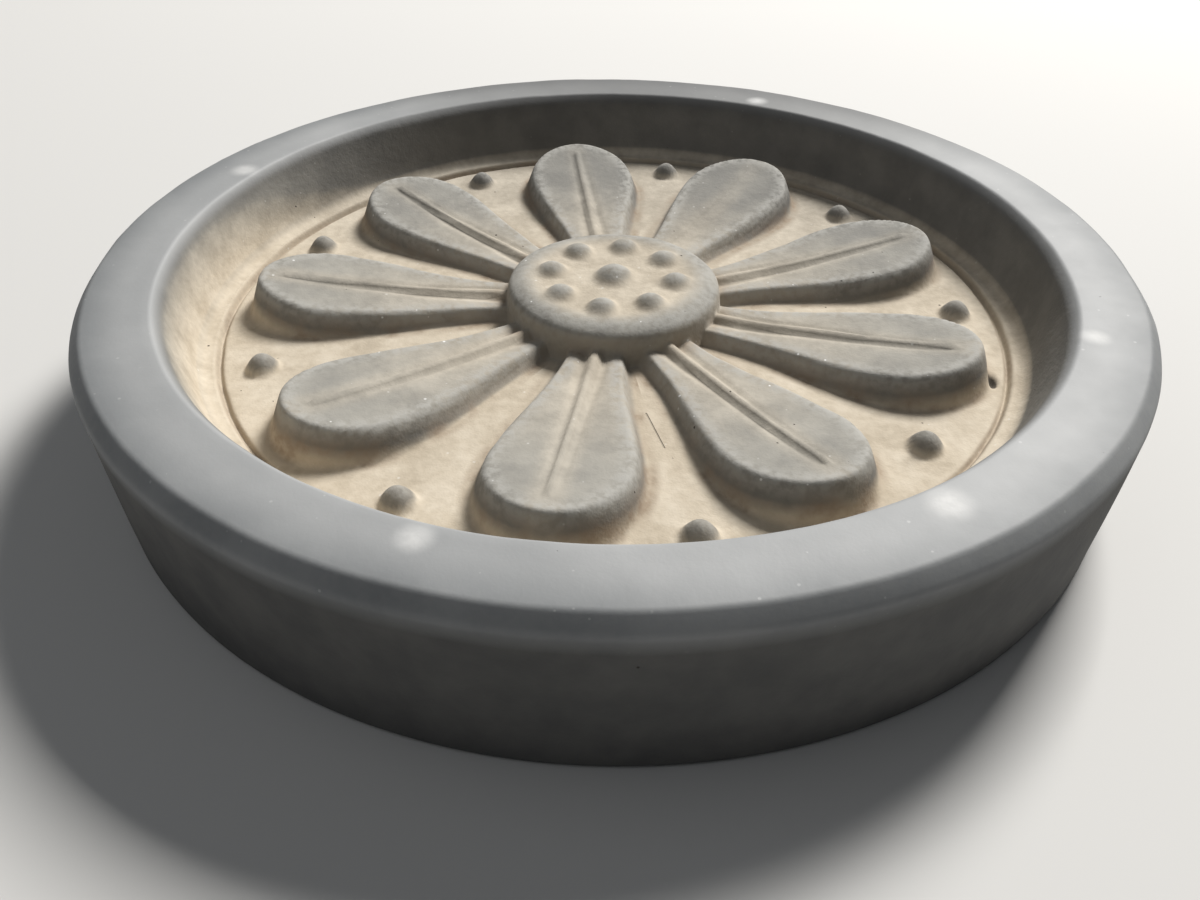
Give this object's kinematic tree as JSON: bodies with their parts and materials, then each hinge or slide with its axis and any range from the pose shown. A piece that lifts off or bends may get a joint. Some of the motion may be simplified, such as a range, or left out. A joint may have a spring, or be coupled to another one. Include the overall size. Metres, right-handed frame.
{
  "type": "round roof tile",
  "caption": "Round eave-end roof tile of grey fired clay: a thick disc with a raised rim around a sunk field that carries a lotus in relief.",
  "frame": {"origin": "middle of the flat back, on the surface that the tile lies on", "axes": "+Z out of the carved face, -X along the axis of a petal, +X through the bead opposite it"},
  "size_m": [0.13, 0.13, 0.0204],
  "materials": {
    "fired_clay": "unglazed grey clay, rubbed smooth on the rim and wall, matt and dusty with tan soil in the recesses"
  },
  "bodies": {
    "root": {"roof_tile": "fired_clay"}
  },
  "joints": []
}
